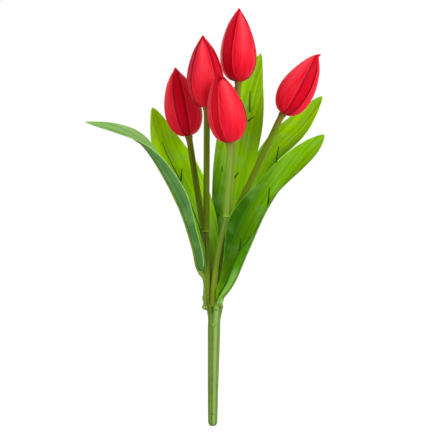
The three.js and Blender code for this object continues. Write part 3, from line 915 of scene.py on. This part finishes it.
def make_stem(name, path, green):
    shape = Shape()
    end = path.length
    shape.turn([
        (SOCKET_DEPTH, SOCKET_RADIUS),
        (0, SOCKET_RADIUS),
        (0, LIP_RADIUS - BEVEL),
        (BEVEL, LIP_RADIUS),
        (LIP_LENGTH, LIP_RADIUS),
        (LIP_LENGTH + LIP_SLOPE, STEM_RADIUS),
        (end - STEM_FLARE, STEM_RADIUS),
        (end - 2.5 * MM, STEM_RADIUS * 1.08),
        (end - 0.8 * MM, STEM_FLARE_RADIUS),
        (end + 0.4 * MM, STEM_FLARE_RADIUS * 0.9),
    ], path, 28)
    piece = shape.piece(name + "_smooth_stem", [stem_look(name + "_stem_green", green)], SHARP_ANGLE)
    settle(piece, name + "_flower", "stem_plastic", name + "_stem")


# Buds. Each is made on the Z axis from its base up, and then settled on its stem.

def bud_radius(share):
    """Widest a third of the way up, and pinched in below the tip."""
    low = (share / BELLY_SHARE) ** BELLY_LOW_POWER
    high = ((1 - share) / (1 - BELLY_SHARE)) ** BELLY_HIGH_POWER
    return BUD_RADIUS * low * high - PINCH * ease((share - PINCH_START) / (PINCH_END - PINCH_START))


def add_petal(shape, middle, end, half_angle, radius_at, thickness):
    """Adds one petal. Its half angle depends on the share of the height, and its radius on that share, the
    step across from -1 to 1 and the half angle."""
    grid = []
    for climb in spread(PETAL_ROWS):
        share = mix(BUD_START, end, (climb + 1) / 2)
        half = half_angle(share)
        height = UP * share * BUD_HEIGHT
        row = []
        for step in spread(PETAL_COLUMNS):
            radius = radius_at(share, step, half)
            wall = min(thickness * mix(1, PETAL_EDGE, step ** 4), radius * WALL_LIMIT)
            way = direction(middle + step * half)
            front = way * radius + height
            back = way * (radius - wall) + height
            size = (math.radians(step * half) * radius, share * BUD_HEIGHT)
            row.append((front, back, size, (step / 2 + 0.5, share)))
        grid.append(row)
    shape.sheet(grid)


def outer_half_angle(belly, top, end):
    """Widest at the belly, rounded at the tip and notched at the base."""
    def half_angle(share):
        climb = clamp((share - BELLY_SHARE) / (end - BELLY_SHARE))
        notch = OUTER_NOTCH * (1 - clamp(share / FOOT_SHARE)) ** 2
        rounding = clamp((share - end + OUTER_ROUNDING) / OUTER_ROUNDING)
        half = mix(belly, top, climb) * math.sqrt(1 - rounding ** 2) * (1 - notch)
        return max(half, OUTER_TIP_ANGLE)
    return half_angle


def outer_radius(wobble):
    """Two flat facets that meet in a crest."""
    def radius_at(share, step, half):
        crest = bud_radius(share)
        rim = crest - OUTER_TUCK * ease(share / FOOT_SHARE)
        span = 1 - OUTER_CREST if step > OUTER_CREST else 1 + OUTER_CREST
        reach = abs(step - OUTER_CREST)
        angle = math.radians(reach * half)
        whole = math.radians(span * half)
        flat = math.sin(whole) / (math.sin(whole - angle) / crest + math.sin(angle) / rim)
        round_wall = mix(crest, rim, (reach / span) ** 2)
        body = mix(round_wall, flat, OUTER_CREASE * ease(share / FOOT_SHARE / 2))
        sway = OUTER_WOBBLE * math.sin(WOBBLE_RATE * share + wobble) * step
        return max(body + sway, rim - OUTER_WOBBLE / 2)
    return radius_at


def inner_half_angle(_):
    return INNER_HALF_ANGLE


def inner_radius(share, step, half):
    """A round wall under the outer petals with a groove along its middle, that closes in a blunt tip."""
    inset = mix(INNER_INSET, INNER_TOP_INSET, ease((share - INSET_START) / (PINCH_END - INSET_START)))
    close = math.sqrt(max(1 - max((share - TIP_START) / (INNER_END - TIP_START), 0) ** 2, 0))
    lap = INNER_SPIRAL * step * ease((1 - share) / SPIRAL_FADE)
    fade = ease((PINCH_END - share) / GROOVE_FADE)
    groove = GROOVE_DEPTH * math.exp(-(step * half / GROOVE_ANGLE) ** 2) * fade
    return max(max(bud_radius(share) - inset - lap - groove, TIP_RADIUS) * close, TIP_LEAST_RADIUS)


def add_core(shape):
    """A round core inside the petals."""
    outline = []
    for ring in range(CORE_RINGS + 1):
        share = mix(CORE_START, CORE_END, ring / CORE_RINGS)
        outline.append((share * BUD_HEIGHT, bud_radius(share) - CORE_INSET))
    shape.turn(outline, straight(Vector(), UP * BUD_HEIGHT))


def make_bud(flower, base, lean):
    name = flower["name"]
    outer, inner, core = Shape(), Shape(), Shape()
    add_core(core)
    end = flower["petals"][-1]
    half_angle = outer_half_angle(*flower["petals"])
    for index in range(PETALS):
        middle = 360 / PETALS * index
        add_petal(outer, middle, end, half_angle, outer_radius(dice.uniform(0, 6)), OUTER_THICKNESS)
        middle += 180 / PETALS
        add_petal(inner, middle, INNER_END, inner_half_angle, inner_radius, INNER_THICKNESS)
    turn = UP.rotation_difference(lean) @ Quaternion(UP, math.radians(flower["turn"]))
    girth = flower["girth"]
    seat = base + Vector((flower["shift"] * MM, 0, 0))

    def settled(point):
        bend = clamp((point.z / BUD_HEIGHT - HOOK_START) / (INNER_END - HOOK_START)) ** 2
        own = Vector((point.x * girth, point.y * girth, point.z * flower["height"]))
        return seat + turn @ own + HOOK_WAY * flower["hook"] * MM * bend

    outer_look = petal_look(name + "_outer_red", flower["painted_shading"], OUTER_REDS, OUTER_RIM_HIGHLIGHT, OUTER_CREST_HIGHLIGHT)
    inner_look = petal_look(name + "_inner_red", flower["painted_shading"], INNER_REDS, INNER_UNDERLAP_SHADE, INNER_CREST_HIGHLIGHT)
    for shape, title, look, slot, node in (
        (outer, "outer_whorl", outer_look, "outer_petal", "outer_petals"),
        (inner, "inner_whorl", inner_look, "inner_petal", "inner_petals"),
        (core, "smooth_core", foam, "foam", "bud_core"),
    ):
        shape.points = [settled(point) for point in shape.points]
        piece = shape.piece(f"{name}_{title}", [look])
        settle(piece, name + "_flower", slot, f"{name}_{node}")


def make_flower(flower):
    branch, stem, base, lean = flower_lines(flower)
    # The stem colour, used by the branch and the stem, is partly painted shade: the ones in the shade of
    # others are darker.
    make_branch(flower["name"], branch, flower["stem"])
    make_stem(flower["name"], stem, flower["stem"])
    make_bud(flower, base, lean)


# Leaves

def leaf_path(leaf):
    start = pivot(leaf["name"] + "_swivel") + UP * (RING_HOLE_RADIUS + RING_RADIUS) / 2
    points = [start, *[place(*spot) for spot in leaf["path"]]]
    return Path(lambda share: catmull_rom(points, share))


def value_at(values, share):
    """A value at a share of the way along a row of values, on a smooth line through them."""
    spans = len(values) - 1
    index = min(int(share * spans), spans - 1)
    step = share * spans - index
    before, start, end, after = [values[min(max(index + shift, 0), spans)] for shift in (-1, 0, 1, 2)]
    leave, arrive = (end - before) / 2, (after - start) / 2
    turn = leave + arrive + 2 * (start - end)
    return start + step * (leave + step * (end - start - leave - turn + step * turn))


def leaf_frame(leaf, path, distance):
    """The leaf's point at a distance along it, the direction that its inner face looks, the one across it,
    its fold and half the width of the folded blade."""
    point, along = path.at(distance)
    stalk = leaf["stalk"] * MM
    share = clamp((distance - stalk) / (path.length - stalk))
    _, side = cross_directions(along)
    face = Quaternion(along, math.radians(value_at(leaf["turns"], share))) @ side
    fold = value_at(leaf["folds"], share)
    taper = clamp((share - leaf["round_from"]) / (1 - leaf["round_from"]))
    start = 1 - clamp(share / LEAF_BASE_SHARE)
    rounding = (1 - taper ** 2) ** LEAF_TIP_POWER * math.sqrt(1 - start ** 2)
    width = max(value_at(leaf["widths"], share) * rounding * MM, LEAF_TIP_WIDTH)
    return point, face, along.cross(face), fold, width / 2 / math.hypot(1, fold)


def rib_radius(share):
    return mix(RIB_LOW_RADIUS, RIB_HIGH_RADIUS, clamp(share / RIB_SHARE))


def blade_point(leaf, path, distance, step, layer):
    """A point at a distance along the blade and a step across it, on its outer face or a layer above, and
    its reach from the rib along the slanting blade."""
    point, face, across, fold, half = leaf_frame(leaf, path, distance)
    slant = math.hypot(1, fold)
    lift = rib_radius(distance / path.length) - BLADE_SEAT
    bent = math.hypot(step, FOLD_ROUNDING) - FOLD_ROUNDING
    reach = step * half * slant
    pleat = PLEAT_DEPTH * math.cos(2 * math.pi * reach / PLEAT_PITCH) * ease(half / PLEAT_FADE)
    rise = lift + layer + fold * half * bent + pleat * (1 - step * step)
    return point + across * step * half + face * rise, reach


def add_ridge(shape, leaf, path):
    """A thin dark bead on the blade's inner face: a painted shadow line."""
    low, high, step = leaf["ridge"]

    def ridge_point(share):
        return blade_point(leaf, path, mix(low, high, share) * MM, step, BLADE_THICKNESS)[0]

    line = Path(ridge_point)
    shape.turn([(0, RIDGE_RADIUS), (line.length, RIDGE_RADIUS * 0.5)], line, 10, look=2)


def make_blade(leaf, path):
    shape = Shape()
    grid = []
    for climb in spread(BLADE_ROWS):
        share = (climb + 1) / 2
        distance = mix(leaf["stalk"] * MM, path.length, share)
        row = []
        for step in spread(BLADE_COLUMNS):
            front, reach = blade_point(leaf, path, distance, step, BLADE_THICKNESS)
            back, _ = blade_point(leaf, path, distance, step, 0)
            row.append((front, back, (reach, distance), (step / 2 + 0.5, share)))
        grid.append(row)
    shape.sheet(grid, back_look=1)
    if "ridge" in leaf:
        add_ridge(shape, leaf, path)
    title = leaf["name"] + "_leaf"
    rim_light_and_shade = leaf["rim_light_and_shade"]
    faces = [
        ("_inner_face", INNER_FACE_GLOSS, leaf["inner"], rim_light_and_shade, leaf["shade"], SHADE_GREEN),
        ("_outer_face", OUTER_FACE_GLOSS, leaf["outer"], rim_light_and_shade, leaf["patch"], leaf["patch_green"]),
    ]
    looks = [leaf_look(title + ending, *values) for ending, *values in faces]
    piece = shape.piece(leaf["name"] + "_smooth_blade", [*looks, tick_green])
    settle(piece, title, "leaf_blade_plastic", title + "_blade")


def inner_point(leaf, path, distance, reach):
    """A point on the blade's inner face, at a distance along it and a reach across it."""
    *_, fold, half = leaf_frame(leaf, path, distance)
    return blade_point(leaf, path, distance, reach / half / math.hypot(1, fold), BLADE_THICKNESS)[0]


def add_ring(shape, leaf):
    """The ring on the leaf's peg."""
    half = RING_THICKNESS / 2
    ring = [
        (-half, RING_HOLE_RADIUS),
        (-half, RING_RADIUS - BEVEL),
        (BEVEL - half, RING_RADIUS),
        (half - BEVEL, RING_RADIUS),
        (half, RING_RADIUS - BEVEL),
        (half, RING_HOLE_RADIUS),
    ]
    shape.turn(ring, peg_line(leaf), 28, look=1)


def add_bar(shape, path):
    """The rib itself, which ends short of the blade's tip."""
    end = path.length * RIB_SHARE
    shape.turn([
        (-0.6 * MM, RIB_LOW_RADIUS * 0.7),
        (0, RIB_LOW_RADIUS),
        (end, RIB_HIGH_RADIUS),
        (end + 0.6 * MM, RIB_HIGH_RADIUS * 0.5),
    ], path, 14)


def add_collar(shape, path, low, high):
    """A sleeve round the rib between two distances along it."""
    shape.turn([
        (low, RIB_LOW_RADIUS * 0.9),
        (low + 1.5 * MM, COLLAR_RADIUS),
        (high - 2 * MM, COLLAR_RADIUS),
        (high, RIB_LOW_RADIUS * 0.9),
    ], path, 16, look=2)


def add_barbs(shape, leaf, path):
    """Short barbs behind the blade, to both sides of the rib by turns."""
    side = -1
    distance = leaf["stalk"] * MM + BARB_PITCH
    while distance < path.length * RIB_SHARE - BARB_RISE:
        root = path.at(distance)[0]
        point, face, across, fold, _ = leaf_frame(leaf, path, distance + BARB_RISE)
        line = straight(root, point + (across * side + face * fold) * BARB_REACH)
        shape.turn([(0, BARB_RADIUS), (line.length, BARB_RADIUS * 0.5)], line, 10)
        side = -side
        distance += BARB_PITCH


def add_ticks(shape, leaf, path):
    """Dark strokes on the blade's inner face: painted shadows where the barbs behind the blade show
    through.
    """
    for start, start_reach, stop, stop_reach, radius in leaf["ticks"]:
        root = inner_point(leaf, path, start * MM, start_reach * MM)
        line = straight(root, inner_point(leaf, path, stop * MM, stop_reach * MM))
        shape.turn([(0, radius * MM), (line.length, radius * MM * 0.4)], line, 10, look=3)


def make_rib(leaf, path):
    shape = Shape()
    name = leaf["name"]
    low, high, green = leaf["collar"]
    add_ring(shape, leaf)
    add_bar(shape, path)
    add_collar(shape, path, low * MM, high * MM)
    add_barbs(shape, leaf, path)
    add_ticks(shape, leaf, path)
    main = srgb(*green)
    collar_green = moulded_look(name + "_collar_green", main, tone(main, 1.3), tone(main, 0.8))
    looks = [rib_green, handle_green, collar_green, tick_green]
    piece = shape.piece(name + "_smooth_rib", looks, SHARP_ANGLE)
    settle(piece, name + "_leaf", "leaf_rib_plastic", name + "_leaf_rib")


def make_leaf(leaf):
    path = leaf_path(leaf)
    make_rib(leaf, path)
    make_blade(leaf, path)


make_handle()
for flower in FLOWERS:
    make_flower(flower)
for leaf in LEAVES:
    make_leaf(leaf)

# The wires, which stay as they were built
steel = steel_look()
for name, node in frame["nodes"].items():
    if name.endswith("wire"):
        node.material_slots[0].material = steel


# Stage

def seen_rays(tree):
    """1 for the rays that the camera, gloss and glass see, and 0 for the rays that only light things."""
    rays = tree.nodes.new("ShaderNodeLightPath")
    total = rays.outputs["Is Camera Ray"]
    for kind in ("Is Glossy Ray", "Is Transmission Ray"):
        either = tree.nodes.new("ShaderNodeMath")
        either.operation = "MAXIMUM"
        tree.links.new(total, either.inputs[0])
        tree.links.new(rays.outputs[kind], either.inputs[1])
        total = either.outputs["Value"]
    return total


def make_floor():
    """White paint for the rays that only light things. Where it is seen, it glows, and a veil on it takes
    the shadows."""
    mesh = bpy.data.meshes.new("floor")
    corners = [(x * FLOOR_REACH, y * FLOOR_REACH, 0) for x, y in ((-1, -1), (1, -1), (1, 1), (-1, 1))]
    mesh.from_pydata(corners, [], [(0, 1, 2, 3)])
    floor = add_object("floor", mesh)
    material = bpy.data.materials.new("white_floor")
    material.use_nodes = True
    tree = material.node_tree
    tree.nodes.clear()
    paint = tree.nodes.new("ShaderNodeBsdfDiffuse")
    paint.inputs["Color"].default_value = (FLOOR_WHITE, FLOOR_WHITE, FLOOR_WHITE, 1)
    veil = tree.nodes.new("ShaderNodeBsdfDiffuse")
    veil.inputs["Color"].default_value = (VEIL_WHITE, VEIL_WHITE, VEIL_WHITE, 1)
    glow = tree.nodes.new("ShaderNodeEmission")
    glow.inputs["Strength"].default_value = VEIL_GLOW
    bright = tree.nodes.new("ShaderNodeAddShader")
    tree.links.new(veil.outputs["BSDF"], bright.inputs[0])
    tree.links.new(glow.outputs["Emission"], bright.inputs[1])
    both = tree.nodes.new("ShaderNodeMixShader")
    tree.links.new(seen_rays(tree), both.inputs["Fac"])
    tree.links.new(paint.outputs["BSDF"], both.inputs[1])
    tree.links.new(bright.outputs["Shader"], both.inputs[2])
    out = tree.nodes.new("ShaderNodeOutputMaterial")
    tree.links.new(both.outputs["Shader"], out.inputs["Surface"])
    mesh.materials.append(material)


def make_world():
    """A white sky that gives less light than it shows."""
    world = bpy.data.worlds.new("studio")
    world.use_nodes = True
    tree = world.node_tree
    tree.nodes.clear()
    strength = tree.nodes.new("ShaderNodeMapRange")
    tree.links.new(seen_rays(tree), strength.inputs["Value"])
    strength.inputs["To Min"].default_value = SKY_LIGHT
    strength.inputs["To Max"].default_value = 1
    sky = tree.nodes.new("ShaderNodeBackground")
    sky.inputs["Color"].default_value = (1, 1, 1, 1)
    tree.links.new(strength.outputs["Result"], sky.inputs["Strength"])
    out = tree.nodes.new("ShaderNodeOutputWorld")
    tree.links.new(sky.outputs["Background"], out.inputs["Surface"])
    bpy.context.scene.world = world


def add_lamp(name, spot, size, power):
    lamp = bpy.data.lights.new(name, "AREA")
    lamp.size = size
    lamp.energy = power
    holder = add_object(name, lamp)
    holder.location = spot
    holder.rotation_euler = (Vector(LAMP_AIM) - Vector(spot)).to_track_quat("-Z", "Y").to_euler()


def make_camera():
    lens = bpy.data.cameras.new("camera")
    lens.sensor_width = SENSOR_WIDTH
    lens.lens = LENS_LENGTH
    camera = add_object("camera", lens)
    camera.location = CAMERA_PLACE
    camera.rotation_euler = (math.pi / 2, 0, 0)
    bpy.context.scene.camera = camera


make_floor()
make_world()
for lamp in LAMPS:
    add_lamp(*lamp)
make_camera()
bpy.context.scene.view_settings.view_transform = "Standard"
